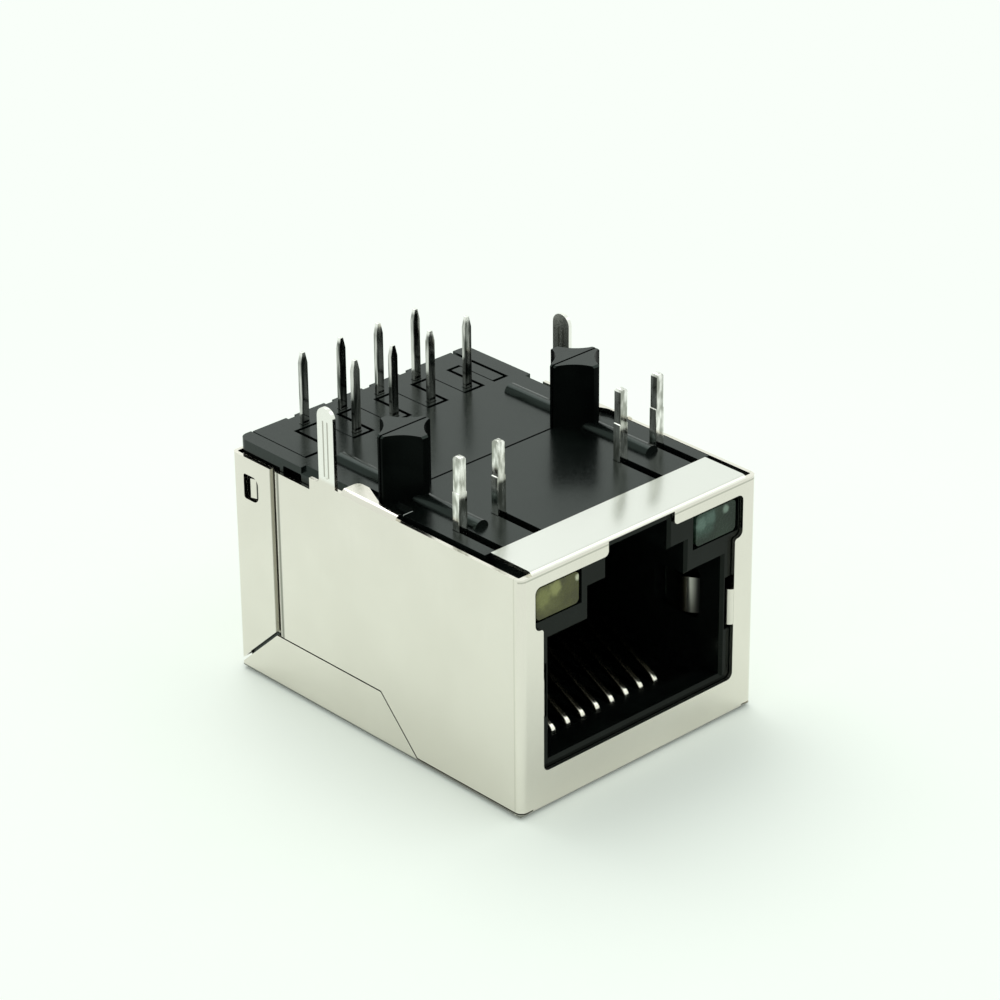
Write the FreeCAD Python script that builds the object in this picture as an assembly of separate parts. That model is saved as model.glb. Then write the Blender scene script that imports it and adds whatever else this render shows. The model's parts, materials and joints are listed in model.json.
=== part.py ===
import FreeCAD, Part
import math
import os
from FreeCAD import Vector

# Board jack for eight-wire network plugs, upside down as it is stored: the flat
# face of the metal shield rests at z = 0 and the board side, with the pins, is up.
# X runs across the mouth, the mouth faces -Y, and the origin is under the middle.
# All sizes are in millimetres. Places along Y are counted back from the mouth.

# Folded shield
body_w = 16.2            # across the two side panels
body_l = 21.2            # mouth face to back panel
wall_h = 13.1            # resting face to the cut edge of the side panels
sheet = 0.2              # thickness of the sheet
fold_r = 0.3             # outer radius of the large folds
corner_fold_r = 0.42     # outer radius of the two upright folds beside the mouth
side_fold_r = 0.2        # outer radius of the folds along the resting face
seam = 0.08              # thin gap between two cut edges that meet
lap_gap = 0.03           # gap between two layers of sheet
strip_l = 2.85           # board-side strip, back from the mouth
strip_end = 0.8          # strip's end, in from the side of the shield
rear_drop = 0.65         # how far the back edge lies under wall_h
rear_drop_past = 4.55    # from the posts back to where the side panels drop to it
flap_l = 3.0             # back flap, forward from the back panel
joggle_l = 0.42          # side panel's step inward under the flap
trap_h = 2.95            # height of the side flap that rises from the resting face
trap_top_l = 11.05       # its level edge, forward from the back panel
trap_foot_l = 13.69      # its slant's foot, forward from the back panel
mitre = 0.18             # open gap between back flap and side flap
catch_y = 0.87           # catch window's back edge, forward of the back panel
catch_l = 1.13
catch_h = 1.4
catch_drop = 0.95        # window's upper edge, under the back flap's edge
catch_hole = 0.45        # open part of the window, behind the tongue
catch_r = 0.4            # window's front corners
catch_rear_r = 0.15
tongue_rise = 0.19       # how far the tongue's end springs outward

# Shield's mouth
mouth_half = 6.57        # half width of the plug opening
mouth_floor = 2.1        # height of its lower edge
mouth_r = 0.35
lamp_sill = 10.0         # height where the opening steps out for the lamps
lamp_edge = 0.19         # lamp window's outer edge, past the lamp
lamp_head = 12.36        # upper edge of the lamp windows
ear_half = 2.25          # half width of the latch slot between the ears
ear_r = 0.25

# Spring fingers at the sides of the plug
finger_z = 5.2           # lower edge of each finger
finger_w = 2.0
finger_root = 0.16       # root's line, inside the opening's edge
finger_bump = 0.65       # how far the bend reaches in from the root's line
finger_straight = 1.85   # straight run behind the mouth
finger_bump_at = 2.75
finger_end_at = 4.3
finger_bump_r = 0.9

# Tabs of the shield on the board side
tab_past = 3.2           # solder tab's middle, behind the posts
tab_w = 1.18
tab_top = 17.36
tab_root_r = 0.25
groove_w = 0.2           # coined line up the middle of the tab
groove_d = 0.11
hold_ahead = 1.85        # folded hold-down edge, forward of the posts
hold_past = 2.15         # and behind them
hold_lobe = 1.17         # reach of its wide lobe from the shield's side
hold_lobe_l = 0.8        # length of that lobe
hold_narrow = 0.35       # reach of its narrow stretch
hold_narrow_l = 1.4      # length of that stretch

# Mouldings
skin_gap = 0.05          # moulding to sheet
face_z = 13.25           # board face of the mouldings
seat_gap = 0.05          # under the strip and the hold-down edges
skin = 0.6               # wall along the resting face
split_gap = 0.12         # front housing to rear housing
plug_half = 5.95         # plug cavity, half width
plug_floor = 2.45
plug_roof = 9.15
step_half = 3.3          # first step of the latch slot
step_roof = 10.93
latch_half = 2.1         # inner part of the latch slot
latch_roof = 12.55
mouth_bevel = 0.15
chamber_l = 8.5          # transformer chamber, forward from the back panel
cavity_wall = 0.8        # wall between it and the plug cavity
lip_l = 1.5              # solid lip under the mouth
post_side = 2.31         # locating posts, in from the sides of the shield
post_r = 1.58
post_top = 16.73
flute_r = 2.0
flute_depth = 0.6        # how deep each flute cuts in from the post's round
post_bevel = 0.1
rib_w = 0.9              # half-round seating ribs through the posts
rib_h = 0.38
rib_ahead = 5.5          # reach of the ribs forward of the posts
rib_past = 4.75          # and behind them
arm_w = 1.1              # rear housing's arms and the sheet beside them
arm_corner_r = 0.55
roof_t = 1.25            # board-side wall over it
side_relief = 0.25       # side recess behind the shield's inner layer
relief_over = 0.2        # how far it shows over the back edge
edge_groove_w = 0.22     # groove along the board face, beside the side panels
edge_groove_d = 0.55
dent_back = 3.75         # hollow in each side, forward from the back panel
dent_l = 1.4
dent_top = 12.85
dent_depth = 0.5
side_bevel = 0.35        # board-side edge of the rear housing's sides
ledge = 0.3              # what the inner board rests on, at each side

# Lamps
lamp_w = 3.0
lamp_h = 2.0
lamp_l = 4.0
lamp_side = 2.69         # middle of each lamp, in from the side
lamp_z = 11.4
lamp_front = 0.25        # front face behind the mouth plane
lamp_gap = 0.1           # lamp to its pocket
lamp_r = 0.25
lens_l = 0.6             # front part, smaller than the body behind it
lens_in = 0.1            # its sides, in from the body's
lens_drop = 0.3          # its top, under the body's
lead_pitch = 2.54
lead_at = 5.65           # lamp leads, back from the mouth
lead_top = 17.2
lead_shoulder = 15.3
lead_w = 0.56            # lower part of a lead
lead_tip_w = 0.46        # upper part
lead_t = 0.46
lead_bend_r = 0.5
lead_tip_r = 0.18
channel_w = 0.52         # slots in the board face, in front of the leads
channel_from = 1.5
hole_gap = 0.03          # lead or pin to its hole

# Signal pins and their block
pin_count = 8
pin_pitch = 1.27
row_gap = 2.54
row_a_back = 1.46        # back row, forward from the back panel
pin_w = 0.44
pin_t = 0.26             # from front to back
pin_top = 17.25
pin_tip_l = 0.6
pin_tip_w = 0.2
finger_seat_w = 1.13     # fingers of the block between the housing's teeth
block_ahead = 0.35       # front ends of those fingers, before the front row
tooth_back = 1.95        # ends of the teeth, forward from the back panel
tooth_gap = 0.2
tight_gap = 0.07
block_end = 1.44         # right end of the block, in from the side
left_finger_w = 1.5
right_finger_w = 0.75
block_t = 1.4            # solid bar under the fingers
block_rear_gap = 0.05
notch_w = 0.55
notch_d = 0.18

# Contacts and their carrier
contact_count = 8
contact_pitch = 1.02
contact_w = 0.32
contact_t = 0.28
contact_run_z = 1.4
contact_front_at = 2.35  # foremost point of the bend
contact_bend_r = 0.5
contact_rise = 28.0      # degrees, slope of the spring behind the bend
contact_tip_at = 8.6
tail_past = 0.75         # first row of tails, behind the cavity's wall
tail_row_gap = 0.9
tail_bend_r = 0.4
carrier_half = 5.2
carrier_gap = 0.05
carrier_top = 2.1
groove_gap = 0.04        # contact to its groove

# Inner board and what it carries
board_side = 1.5         # inner board's edge, in from the side of the shield
board_t = 0.8
board_z = 9.1
board_gap = 0.05         # board to the chamber's walls
board_rear_gap = 0.3
tail_stub = 0.4          # ends of tails and pins past the board
ring_side = 4.9          # rings' middle, in from the side of the shield
transformer_d = 4.0
transformer_bore = 1.8
transformer_t = 2.0
choke_d = 3.2
choke_bore = 1.4
choke_t = 1.8
winding_t = 0.3
winding_open = 50.0      # degrees left bare at the top of each ring
chip_l = 1.6
chip_w = 0.8
chip_t = 0.45
chip_count = 4
chip_pitch = 2.6
capacitor_w = 1.6
capacitor_l = 1.2
capacitor_t = 1.2

# Places worked out from the sizes above
half_w = body_w / 2
front_y = -body_l / 2
post_at = body_l / 2
post_half = half_w - post_side
hold_from = post_at - hold_ahead
hold_to = post_at + hold_past
hold_lobe_from = hold_to - hold_lobe_l
hold_narrow_to = hold_from + hold_narrow_l
tab_at = post_at + tab_past
rear_drop_at = post_at + rear_drop_past
rib_from = post_at - rib_ahead
rib_to = post_at + rib_past
trap_top_at = body_l - trap_top_l
trap_foot_at = body_l - trap_foot_l
lamp_x = half_w - lamp_side
lamp_edge_half = lamp_x + lamp_w / 2 + lamp_edge
arm_x = half_w - arm_w
block_end_half = half_w - block_end
strip_top = wall_h + sheet
rear_edge_z = wall_h - rear_drop
flap_front_at = body_l - flap_l
joggle_at = flap_front_at - joggle_l
inner_half = half_w - sheet - skin_gap
base_z = sheet + skin_gap
moulding_front = sheet + skin_gap
moulding_back = body_l - sheet - skin_gap
roof_z = face_z - roof_t
row_a_at = body_l - row_a_back
row_b_at = row_a_at - row_gap
block_front_at = row_b_at - block_ahead
tooth_end_at = body_l - tooth_back
dent_to = body_l - dent_back
dent_from = dent_to - dent_l
board_half = half_w - board_side
chamber_half = board_half + board_gap
ring_x = half_w - ring_side
chamber_at = body_l - chamber_l
cavity_back = chamber_at - cavity_wall
tail_a_at = chamber_at + tail_past
tails_end = tail_a_at + tail_row_gap + contact_t / 2
rings_l = transformer_t + choke_t + 4 * winding_t
ring_gap = (moulding_back - tails_end - rings_l) / 3
transformer_at = tails_end + ring_gap + winding_t + transformer_t / 2
choke_at = moulding_back - ring_gap - winding_t - choke_t / 2
chip_at = (tails_end + row_b_at - pin_t / 2) / 2
block_z = roof_z - block_t
far = 3 * body_l         # longer than anything that is cut


def back(distance):
    """Y of a place that lies this far behind the mouth."""
    return front_y + distance


def box(x0, x1, y0, y1, z0, z1):
    return Part.makeBox(x1 - x0, y1 - y0, z1 - z0, Vector(x0, y0, z0))


def behind_box(x0, x1, d0, d1, z0, z1):
    """Box whose Y limits are counted back from the mouth."""
    return box(x0, x1, back(d0), back(d1), z0, z1)


def in_plan(z):
    return lambda a, b: Vector(a, b, z)


def in_side(x):
    return lambda a, b: Vector(x, back(a), b)


def in_front(y):
    return lambda a, b: Vector(a, y, b)


def outline(points, radii, place):
    """Closed wire through the points, with an arc at each corner that has a radius."""
    corners = []
    count = len(points)
    for i in range(count):
        here = Vector(points[i][0], points[i][1], 0)
        before = Vector(points[i - 1][0], points[i - 1][1], 0)
        after = Vector(points[(i + 1) % count][0], points[(i + 1) % count][1], 0)
        to_before = (before - here).normalize()
        to_after = (after - here).normalize()
        if radii[i] <= 0:
            corners.append((here, None, here))
            continue
        half = to_before.getAngle(to_after) / 2
        reach = radii[i] / math.tan(half)
        bisector = (to_before + to_after).normalize()
        centre = here + bisector * (radii[i] / math.sin(half))
        corners.append((here + to_before * reach, centre - bisector * radii[i], here + to_after * reach))
    edges = []
    for i in range(count):
        start, middle, stop = corners[i]
        if middle is not None:
            edges.append(Part.Arc(place(start.x, start.y), place(middle.x, middle.y),
                                  place(stop.x, stop.y)).toShape())
        following = corners[(i + 1) % count][0]
        if (following - stop).Length > 1e-6:
            edges.append(Part.LineSegment(place(stop.x, stop.y),
                                          place(following.x, following.y)).toShape())
    return Part.Wire(edges)


def face(points, radii, place):
    return Part.Face(outline(points, radii, place))


def rectangle(a0, a1, b0, b1, radius, place):
    return face([(a0, b0), (a1, b0), (a1, b1), (a0, b1)], [radius] * 4, place)


def band(path, bends, thickness, place):
    """Face of a strip that follows the path, with a middle-line radius at each bend."""
    count = len(path)
    normals = []
    for i in range(count - 1):
        run = Vector(path[i + 1][0] - path[i][0], path[i + 1][1] - path[i][1], 0).normalize()
        normals.append(Vector(-run.y, run.x, 0))
    left, right, left_r, right_r = [], [], [], []
    for i in range(count):
        here = Vector(path[i][0], path[i][1], 0)
        first = normals[max(i - 1, 0)]
        second = normals[min(i, count - 2)]
        shift = (first + second) * (thickness / 2 / (1 + first.dot(second)))
        turn = first.cross(second).z
        radius = bends[i - 1] if 0 < i < count - 1 else 0
        inner = max(radius - thickness / 2, 0)
        outer = radius + thickness / 2 if radius > 0 else 0
        left.append((here.x + shift.x, here.y + shift.y))
        right.append((here.x - shift.x, here.y - shift.y))
        left_r.append(inner if turn > 0 else outer)
        right_r.append(outer if turn > 0 else inner)
    return face(left + right[::-1], left_r + right_r[::-1], place)


def grown(points, distance):
    """Counter-clockwise polygon with every side moved outward."""
    count = len(points)
    result = []
    for i in range(count):
        here = Vector(points[i][0], points[i][1], 0)
        run_in = (here - Vector(points[i - 1][0], points[i - 1][1], 0)).normalize()
        after = points[(i + 1) % count]
        run_out = (Vector(after[0], after[1], 0) - here).normalize()
        first = Vector(run_in.y, -run_in.x, 0)
        second = Vector(run_out.y, -run_out.x, 0)
        shift = (first + second) * (distance / (1 + first.dot(second)))
        result.append((here.x + shift.x, here.y + shift.y))
    return result


def along_x(profile, x0, x1):
    profile.translate(Vector(x0, 0, 0))
    return profile.extrude(Vector(x1 - x0, 0, 0))


def corner_bevel(a, b, way_a, way_b, size, place):
    """Triangle that trims the corner at (a, b); each way is the sign that leads inside."""
    out = fold_r
    points = [(a - way_a * out, b - way_b * out), (a + way_a * (size + out), b - way_b * out),
              (a - way_a * out, b + way_b * (size + out))]
    return face(points, [0, 0, 0], place)


def both_sides(shape):
    """The shape and its mirror image across the middle of the jack."""
    return [shape, shape.mirror(Vector(0, 0, 0), Vector(1, 0, 0))]


def joined(shapes):
    result = shapes[0].multiFuse(shapes[1:]) if len(shapes) > 1 else shapes[0]
    return result.removeSplitter()


def one_solid(shape):
    """The solid itself, without the compound around it."""
    return shape.Solids[0] if len(shape.Solids) == 1 else shape


def folded_block(inset):
    """Box of the shield's size, less an inset, with its folds rounded."""
    half = half_w - inset
    y0 = front_y + inset
    y1 = back(body_l) - inset
    z0 = inset
    z1 = strip_top - inset
    upright = corner_fold_r - inset
    large = fold_r - inset
    small = side_fold_r - inset
    plan = face([(-half, y0), (half, y0), (half, y1), (-half, y1)],
                [upright, upright, large, large], in_plan(z0)).extrude(Vector(0, 0, z1 - z0))
    side = face([(inset, z0), (body_l - inset, z0), (body_l - inset, z1), (inset, z1)],
                [large, large, 0, large], in_side(-half)).extrude(Vector(2 * half, 0, 0))
    front = face([(-half, z0), (half, z0), (half, z1), (-half, z1)],
                 [small, small, 0, 0], in_front(y0)).extrude(Vector(0, y1 - y0, 0))
    return plan.common(side).common(front)


def mouth_cut():
    """Opening in the front panel: plug, lamp windows and latch slot in one outline."""
    right = [(mouth_half, mouth_floor), (mouth_half, lamp_sill), (lamp_edge_half, lamp_sill),
             (lamp_edge_half, lamp_head), (ear_half, lamp_head), (ear_half, wall_h)]
    radii = [mouth_r, mouth_r / 2, mouth_r, mouth_r, ear_r, 0]
    left = [(-x, z) for x, z in right[::-1]]
    profile = face(right + left, radii + radii[::-1], in_front(front_y - sheet))
    return profile.extrude(Vector(0, 3 * sheet, 0))


def flap_seams():
    """Gaps between the side panel, the side flap and the back flap."""
    low = sheet + seam / 2
    level = trap_h + seam / 2
    side_path = [(flap_front_at + seam, level), (trap_top_at, level), (trap_foot_at, low), (-sheet, low)]
    side_seam = band(side_path, [0, 0], seam, in_side(0))
    foot = 1.5 * mitre
    fall = (trap_h + seam - foot) / flap_l
    mitre_path = [(flap_front_at - mitre, trap_h + seam + fall * mitre),
                  (body_l + mitre, foot - fall * mitre)]
    mitre_seam = band(mitre_path, [], mitre, in_side(0))
    inboard = half_w - strip_end
    cuts = []
    for profile in (side_seam, mitre_seam):
        cuts += both_sides(along_x(profile, inboard, half_w + sheet))
    return cuts


def catch_limits():
    window_back = body_l - catch_y
    window_top = rear_edge_z - catch_drop
    return window_back - catch_l, window_back, window_top - catch_h, window_top


def catch_windows():
    d0, d1, z0, z1 = catch_limits()
    window = face([(d0, z0), (d1, z0), (d1, z1), (d0, z1)], [catch_r, catch_rear_r, catch_rear_r, catch_r],
                  in_side(0))
    return both_sides(along_x(window, half_w - sheet - lap_gap / 2, half_w + sheet))


def inner_layer():
    """Side panel's end, stepped inward under the back flap, with its sprung tongue."""
    outer_x = half_w - sheet / 2
    inner_x = outer_x - sheet - lap_gap
    lower = trap_h + seam
    path = [(outer_x, back(joggle_at - sheet)), (outer_x, back(joggle_at)),
            (inner_x, back(flap_front_at - seam)), (inner_x, back(body_l - sheet - catch_y / 2))]
    layer = band(path, [fold_r / 2, fold_r / 2], sheet, in_plan(lower))
    layer = layer.extrude(Vector(0, 0, rear_edge_z - lower))
    d0, d1, z0, z1 = catch_limits()
    layer = layer.cut(behind_box(inner_x - sheet, half_w, d0 + seam, d1, z0, z1))
    tongue_path = [(inner_x, back(d0 - sheet)), (inner_x, back(d0 + seam)),
                   (inner_x + tongue_rise, back(d1 - catch_hole))]
    tongue = band(tongue_path, [fold_r], sheet, in_plan(z0 + 2 * seam))
    tongue = tongue.extrude(Vector(0, 0, catch_h - 4 * seam))
    return layer.fuse(tongue)


def spring_finger():
    """Side finger: rolled in from the mouth's edge, with a rounded bump for the plug."""
    line = mouth_half - finger_root
    path = [(mouth_half + 2 * sheet, front_y + sheet / 2), (line, front_y + sheet / 2),
            (line, back(finger_straight)), (line - finger_bump, back(finger_bump_at)),
            (line - sheet, back(finger_end_at))]
    profile = band(path, [0.25, 0.4, finger_bump_r], sheet, in_plan(finger_z))
    return profile.extrude(Vector(0, 0, finger_w))


def solder_tab():
    """Flat tab of the side panel for the board, with rounded tip, root and coined line."""
    half = tab_w / 2
    root = wall_h - sheet
    tip_r = half * 0.96
    points = [(tab_at + half + 3 * tab_root_r, root), (tab_at + half + 3 * tab_root_r, wall_h),
              (tab_at + half, wall_h), (tab_at + half, tab_top), (tab_at - half, tab_top),
              (tab_at - half, wall_h), (tab_at - half - tab_root_r, wall_h),
              (tab_at - half - tab_root_r, root)]
    radii = [0, 0, tab_root_r, tip_r, tip_r, 0, 0, 0]
    tab = along_x(face(points, radii, in_side(0)), half_w - sheet, half_w)
    middle = back(tab_at)
    groove = face([(half_w - groove_d, middle), (half_w + groove_d, middle - groove_w),
                   (half_w + groove_d, middle + groove_w)], [0, 0, 0], in_plan(wall_h + tab_w / 3))
    return tab.cut(groove.extrude(Vector(0, 0, tab_top - wall_h - tab_w)))


def hold_down():
    """Side panel's edge folded over the moulding: a narrow stretch and a wide lobe."""
    reach = half_w - hold_lobe
    middle = strip_top - sheet / 2
    path = [(half_w - sheet / 2, wall_h - 2 * fold_r), (half_w - sheet / 2, middle), (reach - sheet, middle)]
    roll = band(path, [fold_r - sheet / 2], sheet, in_front(back(hold_from)))
    roll = roll.extrude(Vector(0, hold_to - hold_from, 0))
    narrow = half_w - hold_narrow
    plan = [(half_w + sheet, back(hold_from)), (half_w + sheet, back(hold_to)), (reach, back(hold_to)),
            (reach, back(hold_lobe_from)), (narrow - 2 * sheet, back((hold_lobe_from + hold_narrow_to) / 2)),
            (narrow, back(hold_narrow_to)), (narrow, back(hold_from))]
    shape = face(plan, [0, 0, 0.3, 0.25, 0.5, 0.5, 0], in_plan(0)).extrude(Vector(0, 0, far))
    return roll.common(shape)


def make_shield():
    """The whole shield: one sheet, folded from the mouth round to the back flaps."""
    metal = folded_block(0).cut(folded_block(sheet))
    strip_half = half_w - strip_end
    cuts = [box(-far, far, back(strip_l), far, wall_h, far),
            box(strip_half, far, -far, far, wall_h, far),
            box(-far, -strip_half, -far, far, wall_h, far),
            behind_box(-far, far, rear_drop_at, far, rear_edge_z, far),
            mouth_cut()]
    cuts += flap_seams() + catch_windows()
    cuts += both_sides(behind_box(half_w - 2 * sheet, far, joggle_at, flap_front_at, trap_h, far))
    cuts += both_sides(behind_box(half_w - 2 * sheet, far, hold_from, hold_to, wall_h - fold_r, far))
    metal = metal.cut(cuts)
    added = []
    for piece in (inner_layer(), spring_finger(), solder_tab(), hold_down()):
        added += both_sides(piece)
    return one_solid(joined([metal] + added))


def mouth_profile():
    """Plug cavity with the stepped slot for the plug's latch, counter-clockwise."""
    right = [(plug_half, plug_floor), (plug_half, plug_roof), (step_half, plug_roof),
             (step_half, step_roof), (latch_half, step_roof), (latch_half, latch_roof)]
    left = [(-x, z) for x, z in right[::-1]]
    return right + left


def plug_space(to_distance):
    """Plug cavity with a bevelled lead-in at the mouth."""
    profile = mouth_profile()
    sharp = [0] * len(profile)
    y0 = back(moulding_front)
    cavity = face(profile, sharp, in_front(y0)).extrude(Vector(0, to_distance - moulding_front, 0))
    wide = outline(grown(profile, mouth_bevel), sharp, in_front(y0))
    narrow = outline(profile, sharp, in_front(y0 + mouth_bevel))
    return cavity.fuse(Part.makeLoft([wide, narrow], True, True))


def lamp_limits():
    return lamp_x - lamp_w / 2, lamp_x + lamp_w / 2, lamp_z - lamp_h / 2, lamp_z + lamp_h / 2


def lead_places():
    return [lamp_x - lead_pitch / 2, lamp_x + lead_pitch / 2]


def lamp_pocket():
    """Pocket for one lamp, its leads, and the open slots in front of the leads."""
    x0, x1, z0, z1 = lamp_limits()
    rear = lead_at + lead_t / 2 + lamp_gap
    cuts = [behind_box(x0 - lamp_gap, x1 + lamp_gap, 0, rear, z0 - lamp_gap, z1 + lamp_gap)]
    for x in lead_places():
        half = channel_w / 2
        cuts.append(behind_box(x - half, x + half, channel_from, lead_at, lamp_z, far))
        half = lead_w / 2 + hole_gap
        depth = lead_t / 2 + hole_gap
        cuts.append(behind_box(x - half, x + half, lead_at - depth, lead_at + depth, lamp_z, far))
    return cuts


def finger_pocket():
    """Room in the side wall for a spring finger, open to the plug behind the lip."""
    line = mouth_half - finger_root
    z0 = finger_z - 0.25
    z1 = finger_z + finger_w + 0.7
    clear = sheet / 2 + 2 * seam
    slot = behind_box(line - clear, line + 2 * clear, 0, finger_end_at, z0, z1)
    window = rectangle(finger_straight - seam, finger_end_at + finger_bump, z0, z1, 0.5, in_side(0))
    return [slot, along_x(window, plug_half - sheet, line + 2 * clear)]


def fluted_post(x):
    """Locating post: a round with four hollow flutes, bevelled at its end."""
    height = post_top - base_z
    post = Part.makeCylinder(post_r, height, Vector(x, back(post_at), base_z))
    rim = Vector(x, back(post_at), post_top - post_bevel)
    bevel = Part.makeCone(post_r, post_r - post_bevel, post_bevel, rim)
    post = post.cut(box(x - far, x + far, -far, far, post_top - post_bevel, far)).fuse(bevel)
    away = post_r - flute_depth + flute_r
    for turn in (45, 135, 225, 315):
        a = math.radians(turn)
        centre = Vector(x + away * math.cos(a), back(post_at) + away * math.sin(a), 0)
        post = post.cut(Part.makeCylinder(flute_r, far, centre))
    return post.cut(box(-far, far, -far, far, -far, face_z - roof_t))


def seating_rib(x):
    """Half-round rib along the board face, through the post."""
    radius = (rib_w * rib_w / 4 + rib_h * rib_h) / (2 * rib_h)
    rod = Part.makeCylinder(radius, rib_to - rib_from, Vector(x, back(rib_from), face_z + rib_h - radius),
                            Vector(0, 1, 0))
    return rod.cut(box(-far, far, -far, far, -far, face_z - roof_t / 2))


def moulding_blank():
    """Outside of both housings, with the recesses where the shield lies on them."""
    y0 = back(moulding_front)
    y1 = back(moulding_back)
    front_r = corner_fold_r - sheet
    plan = face([(-inner_half, y0), (inner_half, y0), (inner_half, y1), (-inner_half, y1)],
                [front_r, front_r, arm_corner_r, arm_corner_r], in_plan(base_z))
    blank = plan.extrude(Vector(0, 0, face_z - base_z))
    seat = wall_h - seat_gap
    edge = half_w - hold_lobe - seat_gap
    cuts = [behind_box(-far, far, 0, strip_l + seat_gap, seat, far)]
    cuts += both_sides(behind_box(edge, far, hold_from - seat_gap, hold_to + seat_gap, seat, far))
    groove_z = face_z - edge_groove_d
    cuts += both_sides(behind_box(inner_half - edge_groove_w, far, 0, hold_from - seat_gap, groove_z, far))
    cuts += both_sides(behind_box(half_w - strip_end, far, 0, strip_l + seat_gap, groove_z, far))
    bevel = fold_r - sheet
    over_x = Vector(body_w, 0, 0)
    over_y = Vector(0, body_l, 0)
    low_side = corner_bevel(inner_half, base_z, -1, 1, bevel, in_front(front_y)).extrude(over_y)
    hold_edge = corner_bevel(inner_half, seat, -1, -1, bevel, in_front(back(hold_from)))
    cuts += both_sides(low_side) + both_sides(hold_edge.extrude(Vector(0, hold_to - hold_from, 0)))
    cuts.append(corner_bevel(moulding_front, base_z, 1, 1, bevel, in_side(-half_w)).extrude(over_x))
    cuts.append(corner_bevel(moulding_back, base_z, -1, 1, bevel, in_side(-half_w)).extrude(over_x))
    cuts.append(corner_bevel(moulding_front, seat, 1, -1, bevel, in_side(-half_w)).extrude(over_x))
    blank = blank.cut(cuts)
    extras = []
    for x in (-post_half, post_half):
        extras += [fluted_post(x), seating_rib(x)]
    return blank.fuse(extras)


def carrier_slot(gap):
    """Space of the contact carrier's flat floor piece."""
    half = carrier_half + gap
    return behind_box(-half, half, lip_l + 2 * carrier_gap - gap, chamber_at + carrier_gap,
                      base_z + skin - gap, carrier_top + gap)


def make_front_housing():
    """Front moulding: plug cavity, lamp pockets, finger windows and half of each post."""
    limit = post_at - split_gap / 2
    body = moulding_blank().common(behind_box(-far, far, 0, limit, -far, far))
    cuts = [plug_space(far), carrier_slot(carrier_gap)]
    cuts.append(behind_box(-carrier_half - carrier_gap, carrier_half + carrier_gap, lip_l, far,
                           base_z + skin, plug_floor + seam))
    for cut in lamp_pocket() + finger_pocket():
        cuts += both_sides(cut)
    return one_solid(body.cut(cuts).removeSplitter())


def finger_spans():
    """Left and right limits of each finger of the pin block, from left to right."""
    spans = [(-arm_x + tight_gap, -arm_x + tight_gap + left_finger_w)]
    for x in row_places(1):
        spans.append((x - finger_seat_w / 2, x + finger_seat_w / 2))
    spans.append((block_end_half - right_finger_w, block_end_half))
    return spans


def row_places(row):
    """X of the pins in the back row (0) or the front row (1)."""
    first = -(pin_count - 1) * pin_pitch / 2
    return [first + i * pin_pitch for i in range(pin_count) if i % 2 == row]


def make_rear_housing():
    """Rear moulding: end of the cavity, chamber for the transformers, arms and teeth."""
    limit = post_at + split_gap / 2
    body = moulding_blank().common(behind_box(-far, far, limit, far, -far, far))
    cuts = [plug_space(cavity_back), carrier_slot(carrier_gap)]
    cuts.append(behind_box(-chamber_half, chamber_half, chamber_at, far, board_z - hole_gap, roof_z))
    under = chamber_half - ledge
    cuts.append(behind_box(-under, under, chamber_at, far, base_z + skin, board_z))
    hollow = rectangle(dent_from, dent_to, rear_edge_z - dent_depth, dent_top, 0.1, in_side(0))
    cuts += both_sides(along_x(hollow, inner_half - dent_depth, far))
    edge = corner_bevel(inner_half, face_z, -1, -1, side_bevel, in_front(back(hold_to)))
    cuts += both_sides(edge.extrude(Vector(0, dent_from - hold_to, 0)))
    block = behind_box(-arm_x, block_end_half + tooth_gap, tooth_end_at, far, block_z - hole_gap, far)
    cuts.append(block)
    for x0, x1 in finger_spans():
        cuts.append(behind_box(x0 - tight_gap, x1 + tooth_gap, block_front_at - tooth_gap, far,
                               block_z - hole_gap, far))
    cuts += both_sides(behind_box(inner_half - side_relief, far, joggle_at - seam, far, trap_h,
                                  rear_edge_z + relief_over))
    return one_solid(body.cut(cuts).removeSplitter())


def make_pin_block():
    """Comb-shaped block that holds the signal pins at the back of the board face."""
    rear = moulding_back - block_rear_gap
    right = block_end_half
    left = -arm_x + tight_gap
    plate = behind_box(left, right, tooth_end_at + tooth_gap, rear, block_z, face_z)
    bar = behind_box(-chamber_half + board_gap, chamber_half - board_gap, block_front_at, rear,
                     block_z, roof_z - lap_gap)
    parts = [plate, bar]
    for x0, x1 in finger_spans():
        parts.append(behind_box(x0, x1, block_front_at, rear, block_z, face_z))
    block = joined(parts)
    cuts = []
    half = pin_w / 2 + hole_gap
    deep = pin_t / 2 + hole_gap
    for row, at in ((0, row_a_at), (1, row_b_at)):
        for x in row_places(row):
            cuts.append(behind_box(x - half, x + half, at - deep, at + deep, -far, far))
            if row == 0:
                cuts.append(behind_box(x - notch_w / 2, x + notch_w / 2, rear - notch_d, far, roof_z, far))
    return one_solid(block.cut(cuts).removeSplitter())


def make_pin(x, at):
    """Flat signal pin with a long tapered tip."""
    y = back(at)
    waist = pin_top - pin_tip_l
    shaft = box(x - pin_w / 2, x + pin_w / 2, y - pin_t / 2, y + pin_t / 2, board_z - tail_stub, waist)
    wires = []
    for a, b, z in ((pin_w / 2, pin_t / 2, waist), (pin_tip_w / 2, pin_tip_w / 2, pin_top)):
        corners = [(x - a, y - b), (x + a, y - b), (x + a, y + b), (x - a, y + b)]
        wires.append(outline(corners, [0] * 4, in_plan(z)))
    return one_solid(joined([shaft, Part.makeLoft(wires, True, True)]))


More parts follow.
